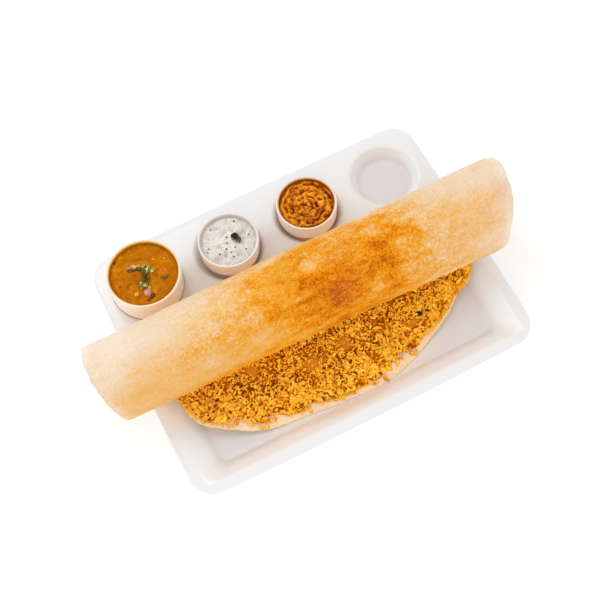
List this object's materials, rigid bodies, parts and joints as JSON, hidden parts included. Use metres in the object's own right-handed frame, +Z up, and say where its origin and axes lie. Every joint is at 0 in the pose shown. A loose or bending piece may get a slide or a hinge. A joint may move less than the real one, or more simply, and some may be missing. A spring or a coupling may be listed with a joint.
{
  "type": "rava dosa on a serving tray with sambar and chutneys",
  "caption": "Large crisp dosa rolled over a crumbled yellow filling, on a white tray with round wells that hold bowls of sambar, coconut chutney and tomato chutney.",
  "frame": {"origin": "on the table under the middle of the object's box: midway along the dosa, and midway across the tray", "axes": "+X along the dosa and the tray's long side, with the empty round well at the +X end; +Y towards the round wells; +Z up"},
  "size_m": [0.4328, 0.2734, 0.1068],
  "materials": {
    "tray_glaze": "white glaze, smooth",
    "bowl_glaze": "ivory glaze, smooth",
    "sambar": "wet ochre lentil stew",
    "coconut_chutney": "soft off-white paste",
    "tomato_chutney": "chunky orange-brown relish, oily",
    "crepe": "crisp griddled batter, golden with browner patches and paler ends",
    "filling": "crumbled yellow and orange spiced filling"
  },
  "bodies": {
    "root": {"tray": "tray_glaze", "bowl_sambar": "bowl_glaze", "bowl_coconut": "bowl_glaze", "bowl_tomato": "bowl_glaze", "sambar": "sambar", "coconut_chutney": "coconut_chutney", "tomato_chutney": "tomato_chutney", "dosa": "crepe", "filling": "filling"}
  },
  "joints": []
}
